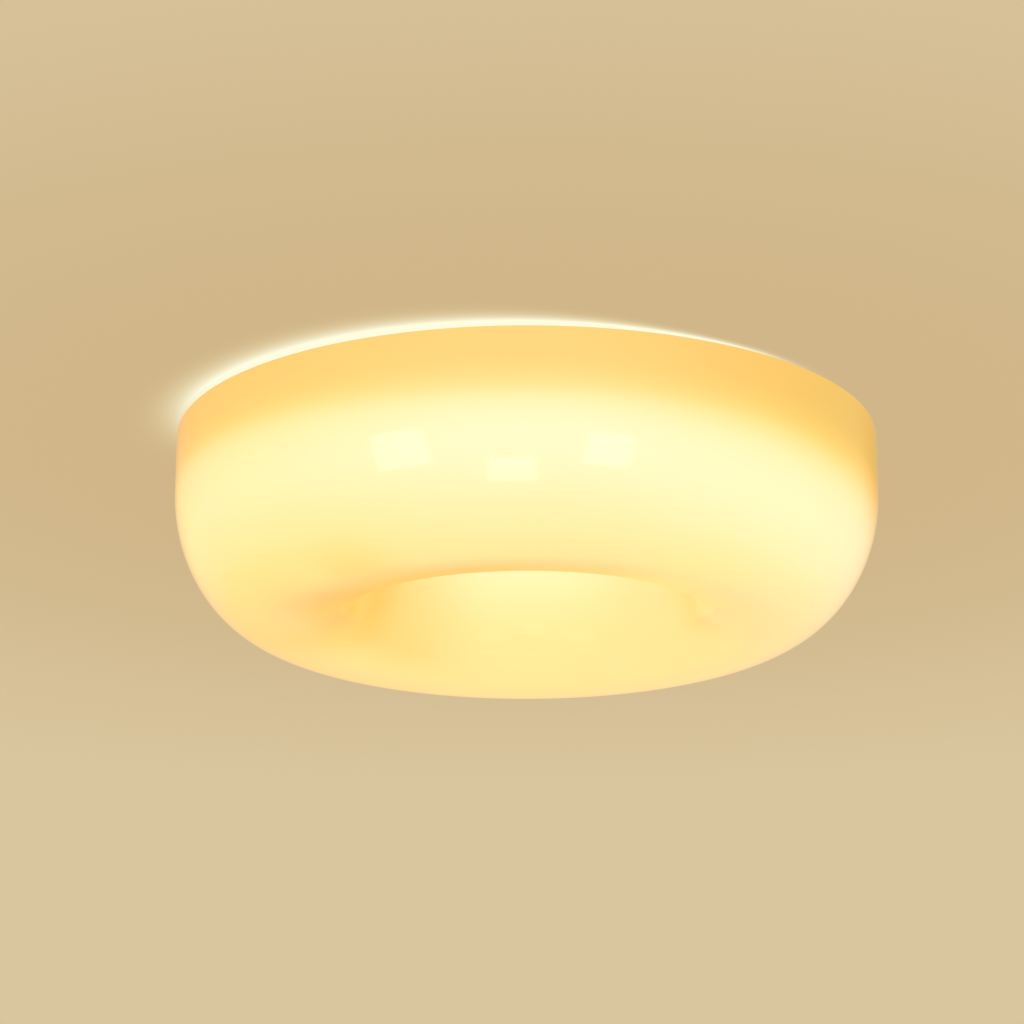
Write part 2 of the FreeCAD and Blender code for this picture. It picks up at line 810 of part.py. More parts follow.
def earth_heights():
    foot_top = pan_floor + earth_foot_height
    tag_under = foot_top + earth_washer_thickness
    nut_under = tag_under + earth_tag_thickness
    return foot_top, tag_under, nut_under


def earth_barrel_height():
    return earth_heights()[1] + earth_barrel_radius


def make_earth():
    # A welded stud with a lock washer, the lead's ring tag and a nut.
    y = terminal_rows()[2]
    foot_top, tag_under, nut_under = earth_heights()
    stud = disc(earth_foot_radius, pan_floor, foot_top, earth_x, y)
    stud = stud.fuse(disc(earth_stud_radius, foot_top, pan_floor + earth_stud_height, earth_x, y))
    save("earth_stud", stud.removeSplitter())
    bore = earth_stud_radius + thread_clearance
    save("earth_washer", ring(earth_foot_radius, bore, foot_top, tag_under, earth_x, y))
    neck_start, barrel_start = earth_x + bore, earth_x + earth_tag_radius + earth_tag_neck
    plate = disc(earth_tag_radius, tag_under, nut_under, earth_x, y)
    neck = Part.makeBox(
        barrel_start + earth_barrel_end - neck_start,
        earth_neck_width,
        earth_tag_thickness,
        vector(neck_start, y - earth_neck_width / 2, tag_under),
    )
    barrel = Part.makeCylinder(
        earth_barrel_radius, earth_barrel_length, vector(barrel_start, y, earth_barrel_height()), vector(1, 0, 0)
    )
    tag = plate.fuse([neck, barrel]).cut(disc(bore, tag_under - 1, nut_under + 1, earth_x, y))
    lead_hole = Part.makeCylinder(
        mains_lead_radius + thread_clearance,
        earth_barrel_length - earth_barrel_end,
        vector(barrel_start + earth_barrel_end, y, earth_barrel_height()),
        vector(1, 0, 0),
    )
    save("earth_tag", tag.cut(lead_hole).removeSplitter())
    save("earth_nut", nut(earth_nut_across, bore, nut_under, earth_nut_height, earth_x, y))


def mains_route(row, lane, driver_lead_y):
    # From a terminal pole round the bracket's end to the driver. Lane sets the two leads apart.
    low = pan_floor + clip_wall + mains_lead_radius
    start, end = contact_back(), -strip_x - strip_length / 2
    past, beside_driver = lane_x - lane, driver_y + driver_width / 2
    return [
        vector(start, row, entry_height),
        vector(start - mains_exit, row, entry_height),
        vector(past + mains_turn_in, row - mains_swing, low + mains_rise),
        vector(past, bracket_width, low),
        vector(past, -2 * bracket_width, low),
        vector(past + mains_bow, (beside_driver - 2 * bracket_width) / 2, low + mains_rise),
        vector(past + lane_gap, driver_lead_y, driver_lead_height),
        vector(end, driver_lead_y, driver_lead_height),
    ]


def low_route(side):
    # From the driver down through the grommet, then up into the plug on the light board.
    start_x, start_y = strip_x + strip_length / 2, driver_y + side * lead_spacing / 2
    leave = vector(start_x + low_exit, start_y, driver_lead_height)
    centre = polar(lead_pass_radius, plug_angle)
    run = centre - vector(leave.x, driver_y, 0)
    aside = vector(-run.y, run.x, 0).normalize() * (side * low_lead_spacing / 2)
    plug_aside = polar(side * low_lead_spacing / 2 * plug_lead_spread, plug_angle + 90)
    low = vector(0, 0, board_under - low_lead_dip)
    entry = vector(0, 0, board_under - plug_height / 2)
    return [
        vector(start_x, start_y, driver_lead_height),
        leave,
        centre + aside + vector(0, 0, driver_lead_height),
        centre + aside + low,
        polar((lead_pass_radius + plug_radius) / 2, plug_angle) + plug_aside + low,
        polar(plug_radius - plug_length / 2, plug_angle) + plug_aside + entry,
        polar(plug_radius + plug_entry_depth, plug_angle) + plug_aside + entry,
    ]


def make_leads():
    rows, driver_leads = terminal_rows(), driver_lead_places()
    routes = {
        "lead_live": (mains_lead_radius, mains_route(rows[0], 0.0, driver_leads[1])),
        "lead_neutral": (mains_lead_radius, mains_route(rows[1], lane_step, driver_leads[0])),
        "lead_plus": (low_lead_radius, low_route(-1)),
        "lead_minus": (low_lead_radius, low_route(1)),
    }
    earth_y = rows[2]
    barrel = earth_x + earth_tag_radius + earth_tag_neck + earth_barrel_end
    end_height = earth_barrel_height()
    routes["lead_earth"] = (
        mains_lead_radius,
        [
            vector(contact_back(), earth_y, entry_height),
            vector(contact_back() - earth_exit, earth_y, entry_height),
            vector(contact_back() - earth_exit - earth_fall, earth_y, end_height),
            vector(barrel, earth_y, end_height),
        ],
    )
    for name, (radius, points) in routes.items():
        solid = lead(radius, points)
        bends = [largest_bend(*corner) for corner in zip(points, points[1:], points[2:])]
        length = sum(edge.Length for edge in rounded_path(points))
        filled = solid.Volume / (math.pi * radius**2 * length)
        print(name, f"length {length:.0f}, volume share {filled:.3f}, bends", [round(b) for b in bends])
        save(name, solid)


def make_lead_clip():
    # A low saddle that keeps both mains leads on the pan where they pass the bracket.
    lanes = (lane_x, lane_x - lane_step)
    height = pan_floor + 2 * clip_wall + 2 * mains_lead_radius
    middle = sum(lanes) / 2
    width = lanes[0] - lanes[1] + 2 * (mains_lead_radius + lead_clearance + clip_wall)
    body = rounded_block(width, clip_width, pan_floor, height + lead_clearance, clip_corner, middle, clip_y)
    for x in lanes:
        low = pan_floor + clip_wall + mains_lead_radius
        body = body.cut(
            cross_rod(mains_lead_radius + lead_clearance, clip_width + 2, x, clip_y, low, vector(0, 1, 0))
        )
    save("lead_clip", body)


os.makedirs("parts", exist_ok=True)
make_shade()
make_shade_fixing()
make_knob()
make_stem()
make_bracket()
make_pan()
make_light_boards()
make_led_plug()
make_grommet()
make_driver()
make_terminal()
make_cord_clamp()
make_earth()
make_leads()
make_lead_clip()
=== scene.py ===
import math

import bpy
import numpy as np
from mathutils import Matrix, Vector


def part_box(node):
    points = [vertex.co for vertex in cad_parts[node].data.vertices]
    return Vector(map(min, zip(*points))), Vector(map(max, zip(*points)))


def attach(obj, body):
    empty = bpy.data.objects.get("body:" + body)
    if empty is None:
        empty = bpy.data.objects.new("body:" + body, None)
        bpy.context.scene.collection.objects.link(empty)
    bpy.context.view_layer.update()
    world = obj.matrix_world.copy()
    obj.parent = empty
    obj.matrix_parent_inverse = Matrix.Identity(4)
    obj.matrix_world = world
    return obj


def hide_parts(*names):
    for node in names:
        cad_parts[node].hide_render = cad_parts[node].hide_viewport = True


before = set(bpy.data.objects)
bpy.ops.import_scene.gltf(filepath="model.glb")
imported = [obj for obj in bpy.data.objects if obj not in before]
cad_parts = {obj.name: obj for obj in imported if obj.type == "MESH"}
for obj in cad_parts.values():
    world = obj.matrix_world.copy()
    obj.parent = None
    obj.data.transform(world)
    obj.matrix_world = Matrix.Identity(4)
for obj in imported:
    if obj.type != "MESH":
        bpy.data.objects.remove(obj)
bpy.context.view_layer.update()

# A flush ceiling lamp: a lit opal ring with a deep dimple, its knob and stem, and under the shade
# the pressed pan with the light boards, the driver and the lever terminal. Metres, +Z up.

print("frame loaded:", len(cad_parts), "nodes")

scene = bpy.context.scene
scene.view_settings.view_transform = "Standard"


# Small helpers

def linear(text):
    # sRGB hex to linear RGBA: c / 12.92 below 0.04045, else ((c + 0.055) / 1.055) to the power 2.4
    parts = [int(text[k:k + 2], 16) / 255 for k in (0, 2, 4)]
    return [c / 12.92 if c <= 0.04045 else ((c + 0.055) / 1.055) ** 2.4 for c in parts] + [1.0]


def mm(value):
    return value / 1000


def addNode(tree, kind, links=None, output=0, **settings):
    # links holds each input's value, or the socket that feeds it, and output names the socket that
    # is handed back
    node = tree.nodes.new(kind)
    for name, value in settings.items():
        setattr(node, name, value)
    for name, value in (links or {}).items():
        if isinstance(value, bpy.types.NodeSocket):
            tree.links.new(value, node.inputs[name])
        else:
            node.inputs[name].default_value = value
    return node.outputs[output] if node.outputs else None


def newMaterial(name):
    material = bpy.data.materials.new(name)
    material.use_nodes = True
    material.node_tree.nodes.clear()
    return material, material.node_tree


def flatRadius(tree, place):
    # distance from the lamp's axis: the length of (x, y, 0)
    flat = addNode(tree, "ShaderNodeVectorMath", {0: place, 1: (1, 1, 0)}, operation="MULTIPLY")
    return addNode(tree, "ShaderNodeVectorMath", {0: flat}, output="Value", operation="LENGTH")


def softMask(tree, measures, limits, share=1.0):
    # the share, times a soft step from 0 to 1 for each (measure, start, end) of the limits
    for measure, start, end in limits:
        step = addNode(tree, "ShaderNodeMapRange", {
            "Value": measures[measure], "From Min": start, "From Max": end,
        }, interpolation_type="SMOOTHSTEP")
        share = addNode(tree, "ShaderNodeMath", {0: share, 1: step}, operation="MULTIPLY")
    return share


def layTone(tree, measures, below, above, limits, share=1.0):
    # above over below, by its share and as far as the limits let it
    return addNode(tree, "ShaderNodeMix", {
        "Factor": softMask(tree, measures, limits, share), "A": below, "B": above,
    }, output=2, data_type="RGBA")


def seenRays(tree):
    # the camera's rays, and all rays that show a surface: not those that only light the object
    rays = addNode(tree, "ShaderNodeLightPath").node.outputs
    seen = rays["Is Camera Ray"]
    for kind in ("Is Glossy Ray", "Is Transmission Ray"):
        seen = addNode(tree, "ShaderNodeMath", {0: seen, 1: rays[kind]}, operation="MAXIMUM")
    return rays["Is Camera Ray"], seen


def gridMesh(name, grid, closedRows=False, poles=(False, False)):
    # grid[copy, row, column] is a point. Columns close round, and rows close where asked.
    # A pole closes a copy's first or last row with a fan.
    copies, rows, columns = grid.shape[:3]
    index = np.arange(copies * rows * columns).reshape(copies, rows, columns)
    first = index if closedRows else index[:, :-1]
    second = np.roll(index, -1, 1) if closedRows else index[:, 1:]
    faces = np.stack([first, second, np.roll(second, -1, 2), np.roll(first, -1, 2)], -1).reshape(-1, 4)
    points, faces = grid.reshape(-1, 3), faces.tolist()
    for edge, wanted in ((0, poles[0]), (-1, poles[1])):
        if wanted:
            # one new point for each copy, in the middle of its row
            tips = np.arange(copies)[:, None] + len(points) + 0 * index[:, edge]
            points = np.concatenate([points, grid[:, edge].mean(1)])
            ring, onward = index[:, edge], np.roll(index[:, edge], -1, 1)
            fan = [tips, ring, onward] if edge == 0 else [tips, onward, ring]
            faces += np.stack(fan, -1).reshape(-1, 3).tolist()
    mesh = bpy.data.meshes.new(name)
    mesh.from_pydata(points.tolist(), [], faces)
    mesh.polygons.foreach_set("use_smooth", np.ones(len(faces), bool))
    mesh.update()
    piece = bpy.data.objects.new(name, mesh)
    scene.collection.objects.link(piece)
    return piece


def revolve(section, columns):
    # point(row, turn) = (r cos turn, r sin turn, z), for a section of (r, z) rows
    turn = np.linspace(0, 2 * math.pi, columns, endpoint=False)
    r, z = section[:, :1], section[:, 1:]
    return np.stack([r * np.cos(turn), r * np.sin(turn), z + 0 * turn], -1)[None]


def bezier(poles, count):
    # Bernstein sum of the poles, at count evenly spaced parameters from 0 to 1
    poles, t = np.array(poles, float), np.linspace(0, 1, count)[:, None]
    degree = len(poles) - 1
    terms = [math.comb(degree, k) * (1 - t) ** (degree - k) * t ** k * p for k, p in enumerate(poles)]
    return np.sum(terms, 0)


def softCorner(before, corner, after, reach, count=5):
    # a quadratic curve that starts and ends one reach from the corner, along its two sides
    before, corner, after = (np.array(p, float) for p in (before, corner, after))
    start = corner + (before - corner) / np.linalg.norm(before - corner) * reach
    end = corner + (after - corner) / np.linalg.norm(after - corner) * reach
    return bezier([start, corner, end], count)


def swell(start, corner, end, fullness, count):
    # a quarter of an oval: a cubic curve whose inner poles lie on the way from its ends to the
    # corner where its end tangents meet
    start, corner, end = (np.array(p, float) for p in (start, corner, end))
    poles = [start, start + (corner - start) * fullness, end + (corner - end) * fullness, end]
    return bezier(poles, count)


# Camera: the photograph's view, from below and 3 m away

camera = {
    "elevation": 18.32,          # degrees, looking up at the middle of the rim
    "distance": 3.0,
    "focalPixels": 4188,         # in a frame 1024 pixels wide
    "frameWidth": 1024,
    "rimPixel": (527.3, 443.9),  # where the middle of the rim lies in that frame
    "sensorWidth": 36,           # mm
}

shadeLow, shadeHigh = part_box("shade")
rimHeight = shadeHigh.z


def placeCamera():
    tilt = math.radians(camera["elevation"])
    right = camera["rimPixel"][0] - camera["frameWidth"] / 2
    up = camera["frameWidth"] / 2 - camera["rimPixel"][1]
    data = bpy.data.cameras.new("camera")
    data.sensor_width = camera["sensorWidth"]
    data.lens = camera["focalPixels"] / camera["frameWidth"] * data.sensor_width
    eye = bpy.data.objects.new("camera", data)
    distance = camera["distance"]
    eye.location = (0, -distance * math.cos(tilt), rimHeight - distance * math.sin(tilt))
    pitch = tilt - math.atan(up / camera["focalPixels"])
    eye.rotation_euler = (math.pi / 2 + pitch, 0, math.atan(right / camera["focalPixels"]))
    scene.collection.objects.link(eye)
    scene.camera = eye
    return Vector(eye.location)


eyePoint = placeCamera()
print("camera placed")


# Shade: one shell of nearly even wall, from the rim over the belly and the crest into the dimple

shade = {
    "rimInset": mm(0.5),        # of the rim from the widest radius
    "wall": mm(3),
    "rimReturn": mm(5),         # how far the rim turns inwards
    "bellyDrop": mm(48),
    "crestRadius": mm(176.5),
    "shoulderRadius": mm(142),  # where the gentle rise from the crest ends and the tight lip starts
    "shoulderDrop": mm(141.15),
    "shoulderSlope": 17.3,      # degrees
    "dimpleRadius": mm(120.5),  # at the lip, where the wall stands upright
    "lipDrop": mm(124.3),
    "floorRadius": mm(66),
    "floorDrop": mm(62),
    "holeRadius": mm(9),
    "fullness": (0.535, 0.57, 0.35),  # of the side, the lip and the dimple
    "edge": mm(0.9),            # polished edges
    # points along each stretch of the section
    "outerRows": (16, 50, 16, 24, 30, 9),
    "innerRows": (12, 34, 12, 16, 20, 7),
    "columns": 320,
}


def shadeSkin(inset, top, rows):
    # rim to belly to crest to shoulder to lip to foot to hole, moved into the wall by inset: each
    # stretch is a curve that leaves and meets its neighbours along their tangents
    s = shade
    radius = shadeHigh.x - inset
    low, floor = shadeLow.z + inset, -s["floorDrop"] + inset
    upright = s["dimpleRadius"] + inset
    rim, belly = (radius - s["rimInset"], top), (radius, -s["bellyDrop"])
    crest, lip = (s["crestRadius"], low), (upright, -s["lipDrop"])
    slope = math.radians(s["shoulderSlope"])
    shoulder = (s["shoulderRadius"] + inset * math.sin(slope),
                -s["shoulderDrop"] + inset * math.cos(slope))
    crestCorner = (shoulder[0] + (shoulder[1] - low) / math.tan(slope), low)
    lipCorner = (upright, shoulder[1] + (shoulder[0] - upright) * math.tan(slope))
    foot = (s["floorRadius"] + inset, floor)
    side, turn, dimple = s["fullness"]
    stretches = [
        bezier([rim, (radius, (top - s["bellyDrop"]) / 2), belly], rows[0]),
        swell(belly, (radius, low), crest, side, rows[1]),
        bezier([crest, crestCorner, shoulder], rows[2]),
        swell(shoulder, lipCorner, lip, turn, rows[3]),
        swell(lip, (upright, floor), foot, dimple, rows[4]),
        bezier([foot, (s["holeRadius"], floor)], rows[5]),
    ]
    return np.concatenate([stretches[0]] + [stretch[1:] for stretch in stretches[1:]])


def makeShade():
    # the outer skin, back along the inner one, and the rim's return, with all corners eased
    s = shade
    top, inside = rimHeight, rimHeight - s["wall"]
    outer = shadeSkin(0, top, s["outerRows"])
    inner = shadeSkin(s["wall"], inside, s["innerRows"])[::-1]
    returnRadius = inner[-1][0] - s["rimReturn"]
    returnLow, returnTop = (returnRadius, inside), (returnRadius, top)
    section = np.concatenate([
        softCorner(returnTop, outer[0], outer[1], s["edge"]),
        outer[1:-1],
        softCorner(outer[-2], outer[-1], inner[0], s["edge"]),
        softCorner(outer[-1], inner[0], inner[1], s["edge"]),
        inner[1:-1],
        softCorner(inner[-2], inner[-1], returnLow, s["edge"]),
        softCorner(inner[-1], returnLow, returnTop, s["edge"]),
        softCorner(returnLow, returnTop, outer[0], s["edge"]),
    ])
    return gridMesh("shadeShell", revolve(section, s["columns"]), closedRows=True), outer


opal = {
    # light through the wall by depth under the ceiling, in mm: the rim stands above the light
    # boards, and the boards hang a little lower on the right
    "middle": [(4, "ffbd6c"), (28, "ffbf6f"), (37, "ffc576"), (46, "ffcd82"), (54, "ffda9d"),
               (64, "ffdeac"), (76, "ffe0b4"), (92, "ffdfb1"), (109, "ffdba4"), (124, "ffd799"),
               (136, "ffd38f"), (144, "ffcf86")],
    "left": [(5, "ffb864"), (20, "ffba62"), (32, "ffbe66"), (40, "ffc66e"), (48, "ffd287"),
             (57, "ffd998"), (70, "ffdb9b"), (88, "ffdb9f"), (104, "ffd793"), (119, "ffd48b"),
             (130, "ffcf7b"), (144, "ffc972")],
    "right": [(5, "dcb156"), (22, "dbb156"), (36, "ddb759"), (45, "ffc063"), (53, "ffcb75"),
              (63, "ffd792"), (74, "ffdda4"), (90, "ffe0ae"), (105, "ffe0ae"), (118, "ffdda5"),
              (129, "ffdb9e"), (144, "ffd28b")],
    "inside": [(70, "ffdca4"), (81, "ffdb9c"), (91, "ffd794"), (100, "ffd48f"), (110, "ffd289"),
               (120, "ffd087"), (131, "ffcf87"), (144, "ffcd83")],
    "deepest": 150.0,           # mm, the depth at which the tables above end
    # how much lower the boards seem at the far right, and where that starts and ends
    "rightDrop": mm(7),
    "rightFall": [("x", mm(150), mm(250))],
    # where the tones of the two sides take over from the middle's, and the dimple's from all three. The
    # sides' tones are partly painted shade, darker where the wall is seen at a slant.
    "leftSide": [("x", mm(-15), mm(-215))],
    "rightSide": [("x", mm(15), mm(215))],
    "inward": [("radius", mm(188.5), mm(154.5))],
    # left and right walls of the dimple: tone, limits, share
    "walls": [("ffbd66", [("x", mm(-20), mm(-105)), ("z", mm(-150), mm(-130))], 0.78),
              ("ffcc84", [("x", mm(20), mm(105)), ("z", mm(-150), mm(-130))], 0.82)],
    # the dimple's near lip, darker as painted shade where it is seen at a grazing slant: tones at its left
    # and right, where the one turns into the other, and the limits and share of both
    "lip": ("ffb455", "ffc168"),
    "lipTurn": [("x", mm(-60), mm(60))],
    "lipShadeLimits": [("radius", mm(192), mm(150)), ("y", mm(-35), mm(-95)), ("x", mm(150), mm(60))],
    "lipShadeShare": 0.9,
    # painted shade: the darker line where that lip turns up: tone, limits, share
    "lipShadeLine": ("d7b159", [("radius", mm(124), mm(106)), ("y", mm(-5), mm(-50))], 0.8),
    # clouds of warmer or yellower light, most of them on the crest, where the wall turns away from the
    # boards; the darker ones are partly painted shade, where the wall is seen at a slant: place and reach
    # in mm, tone, share
    "clouds": [((-118, -62, -140), 80, "e8ae54", 0.8),
               ((118, -56, -140), 50, "ffc678", 0.5),
               ((-140, 15, -142), 75, "f4b440", 0.45),
               ((-122, -12, -128), 45, "ffa848", 0.55),
               ((-110, 42, -106), 45, "ffac49", 0.6),
               ((114, 16, -116), 50, "ffbb5e", 0.5),
               ((100, -134, -143), 65, "ffd582", 0.6),
               ((-110, -146, -143), 50, "ffbe5d", 0.5),
               ((-139, -42, -142), 35, "ffb847", 0.5),
               ((245, -50, -28), 65, "dda400", 0.8),
               ((-245, -45, -80), 70, "ffe992", 0.4)],
    # share of the polish left in the dimple: 0.12 at the near lip, 0.6 at the sides, and a quarter
    # of that at the far wall, as (start, end, before, after) along y
    "dull": [(mm(-75), mm(-35), 0.12, 0.6), (0, mm(60), 1, 0.25)],
    "dullRadius": mm(140),
    "pigment": mm(60),          # size of the pigment's clouds
    "rough": (0.12, 0.18),
    "wave": (mm(0.12), 0.5),    # height and strength of the formed sheet's waviness
    "coatRough": 0.1,
    "index": 1.49,              # of refraction, for acrylic
    "base": "3e362d",           # dark, because most of what the eye gets is the light from within
    "glow": 1.3,
}


def opalAcrylic():
    # Thermoformed opal acrylic, polished: milky, warm where its light is weak, under a clear gloss skin
    material, tree = newMaterial("thermoformedOpalAcrylic")
    place = addNode(tree, "ShaderNodeTexCoord", output="Object")
    axes = addNode(tree, "ShaderNodeSeparateXYZ", {"Vector": place}).node.outputs
    measures = {"x": axes["X"], "y": axes["Y"], "z": axes["Z"], "radius": flatRadius(tree, place)}
    fall = softMask(tree, measures, opal["rightFall"], opal["rightDrop"])
    level = addNode(tree, "ShaderNodeMath", {0: axes["Z"], 1: fall}, operation="ADD")
    depth = addNode(tree, "ShaderNodeMapRange", {
        "Value": level, "From Min": 0.0, "From Max": -mm(opal["deepest"]),
    })
    light = {}
    for side in ("middle", "left", "right", "inside"):
        light[side] = addNode(tree, "ShaderNodeValToRGB", {"Fac": depth})
        ramp = light[side].node.color_ramp
        ramp.interpolation = "B_SPLINE"
        ramp.elements.remove(ramp.elements[-1])
        for number, (deep, tone) in enumerate(opal[side]):
            position = deep / opal["deepest"]
            element = ramp.elements.new(position) if number else ramp.elements[0]
            element.position, element.color = position, linear(tone)
    # the sides' tables hold painted shade as well as the light through the wall
    outside = layTone(tree, measures, light["middle"], light["left"], opal["leftSide"])
    outside = layTone(tree, measures, outside, light["right"], opal["rightSide"])
    inside = light["inside"]
    for tone, limits, share in opal["walls"]:
        inside = layTone(tree, measures, inside, linear(tone), limits, share)
    colour = layTone(tree, measures, outside, inside, opal["inward"])
    # painted shade: the near lip of the dimple is darkened where it is seen at a grazing slant
    tone = layTone(tree, measures, linear(opal["lip"][0]), linear(opal["lip"][1]), opal["lipTurn"])
    colour = layTone(tree, measures, colour, tone, opal["lipShadeLimits"], opal["lipShadeShare"])
    # painted shade: a darker line along the edge where the lip turns up
    tone, limits, share = opal["lipShadeLine"]
    colour = layTone(tree, measures, colour, linear(tone), limits, share)
    # the warmer, darker clouds are partly painted shade where the wall is seen at a slant
    for centre, reach, tone, share in opal["clouds"]:
        measures["away"] = addNode(tree, "ShaderNodeVectorMath", {
            0: place, 1: [mm(value) for value in centre],
        }, output="Value", operation="DISTANCE")
        colour = layTone(tree, measures, colour, linear(tone), [("away", mm(reach), 0)], share)
    # pigment clouds and the faint waviness of a formed sheet, both far wider than they are deep
    pigment = addNode(tree, "ShaderNodeTexNoise", {
        "Vector": place, "Scale": 1 / opal["pigment"], "Detail": 2.0,
    })
    rough = addNode(tree, "ShaderNodeMapRange", {
        "Value": pigment, "To Min": opal["rough"][0], "To Max": opal["rough"][1],
    })
    wave = addNode(tree, "ShaderNodeBump", {
        "Height": pigment, "Distance": opal["wave"][0], "Strength": opal["wave"][1],
    })
    # the dimple is rubbed duller by the hands that reach for the knob, least of all at its sides
    rubbed = 1.0
    for start, end, before, after in opal["dull"]:
        part = addNode(tree, "ShaderNodeMapRange", {
            "Value": axes["Y"], "From Min": start, "From Max": end, "To Min": before, "To Max": after,
        }, interpolation_type="SMOOTHSTEP")
        rubbed = addNode(tree, "ShaderNodeMath", {0: rubbed, 1: part}, operation="MULTIPLY")
    polish = addNode(tree, "ShaderNodeMapRange", {
        "Value": measures["radius"], "From Min": shade["crestRadius"], "From Max": opal["dullRadius"],
        "To Min": 1.0, "To Max": rubbed,
    }, interpolation_type="SMOOTHSTEP")
    shader = addNode(tree, "ShaderNodeBsdfPrincipled", {
        "Base Color": linear(opal["base"]), "Roughness": rough, "IOR": opal["index"],
        "Specular IOR Level": 0.0, "Coat Weight": polish, "Coat Roughness": opal["coatRough"],
        "Coat IOR": opal["index"], "Normal": wave, "Coat Normal": wave,
        "Emission Color": colour, "Emission Strength": opal["glow"],
    })
    addNode(tree, "ShaderNodeOutputMaterial", {"Surface": shader})
    return material


shadeShell, shadeOutline = makeShade()
shadeShell.data.materials.append(opalAcrylic())
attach(shadeShell, "shade")
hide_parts("shade")
print("shade made")


# Finishes: each has mottled tones, a spread of roughness and a relief of its own grain, in mm.
# Mould grit, drawing lines and the like are finer than 0.1 mm on real pieces. They are drawn at
# 0.2 to 0.8 mm, because nothing finer would show in the render.

